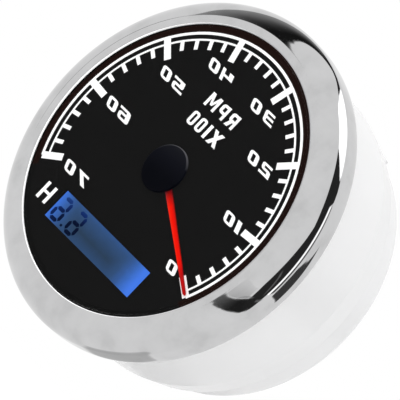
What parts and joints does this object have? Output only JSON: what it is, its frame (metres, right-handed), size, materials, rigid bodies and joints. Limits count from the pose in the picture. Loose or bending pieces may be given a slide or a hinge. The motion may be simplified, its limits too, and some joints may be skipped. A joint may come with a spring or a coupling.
{
  "type": "boat tachometer",
  "caption": "Round panel tachometer with rolled bezel, domed lens, printed dial, hour display, geared pointer and stepped housing with rear studs and socket.",
  "frame": {"origin": "centre of the round hole that the gauge is fitted in, on the panel's front face, where the back of the bezel seats", "axes": "dial faces -Y, twelve o'clock of the dial is +Z, the housing and studs run back along +Y, +X is to the right of a viewer who faces the dial"},
  "size_m": [0.093, 0.0713, 0.093],
  "materials": {
    "bezel_steel": "polished stainless steel",
    "lens_glass": "clear, coated against glare",
    "seal_rubber": "matt moulded rubber",
    "dial_black": "matt black screen print",
    "print_white": "white screen ink",
    "guide_clear": "clear moulding, frosted back",
    "display_blue": "lit from behind",
    "diffuser_white": "milky diffuser",
    "inner_black": "fine eroded moulding",
    "board_green": "solder resist",
    "screw_steel": "plated",
    "can_aluminium": "drawn can",
    "movement_plastic": "moulded",
    "core_steel": "stamped plate",
    "coil_copper": "enamelled copper wire",
    "magnet_dark": "sintered magnet",
    "gear_plastic": "natural acetal",
    "pointer_red": "translucent red",
    "cap_black": "satin black",
    "housing_white": "glossy moulding",
    "ribbon_grey": "flat flexible lead",
    "socket_black": "glass-filled moulding",
    "contact_brass": "plated contacts",
    "stud_steel": "passivated thread"
  },
  "bodies": {
    "case": {"bezel": "bezel_steel", "lens": "lens_glass", "lens_gasket": "seal_rubber", "dial_plate": "dial_black", "scale_print": "print_white", "light_guide": "guide_clear", "lcd_panel": "display_blue", "lcd_backlight": "diffuser_white", "carrier": "inner_black", "circuit_board": "board_green", "board_screws": "screw_steel", "backlight_leds": "diffuser_white", "control_chip": "inner_black", "capacitors": "can_aluminium", "movement_base": "movement_plastic", "movement_cover": "movement_plastic", "stator_core": "core_steel", "coils": "coil_copper", "housing": "housing_white", "terminal_board": "board_green", "terminal_screws": "screw_steel", "link_ribbon": "ribbon_grey", "set_switch": "inner_black", "socket_shell": "socket_black", "socket_pins": "contact_brass", "studs": "stud_steel", "stud_washers": "screw_steel", "stud_nuts": "stud_steel"},
    "pointer": {"output_gear": "gear_plastic", "needle": "pointer_red", "needle_cap": "cap_black"},
    "middle_gear": {"middle_gear": "gear_plastic"},
    "rotor": {"rotor": "magnet_dark"},
    "button": {"set_button": "seal_rubber"}
  },
  "joints": [
    {"name": "pointer_sweep", "type": "hinge", "parent": "case", "child": "pointer", "pos_m": [0, 0, 0], "axis": [0, -1, 0], "range_deg": [0, 240]},
    {"name": "middle_gear_spin", "type": "hinge", "parent": "case", "child": "middle_gear", "pos_m": [0, 0, 0.01], "axis": [0, -1, 0], "range_deg": [-960, 0]},
    {"name": "rotor_spin", "type": "hinge", "parent": "case", "child": "rotor", "pos_m": [0, 0, 0.02], "axis": [0, -1, 0], "range_deg": [0, 3840]},
    {"name": "button_push", "type": "slide", "parent": "case", "child": "button", "axis": [0, -1, 0], "range_m": [0, 0.0008], "stiffness_N_per_m": 200, "springref_m": -0.0008}
  ],
  "couplings": [
    {"joint": "middle_gear_spin", "follows": "pointer_sweep", "ratio": -4},
    {"joint": "rotor_spin", "follows": "pointer_sweep", "ratio": 16}
  ]
}
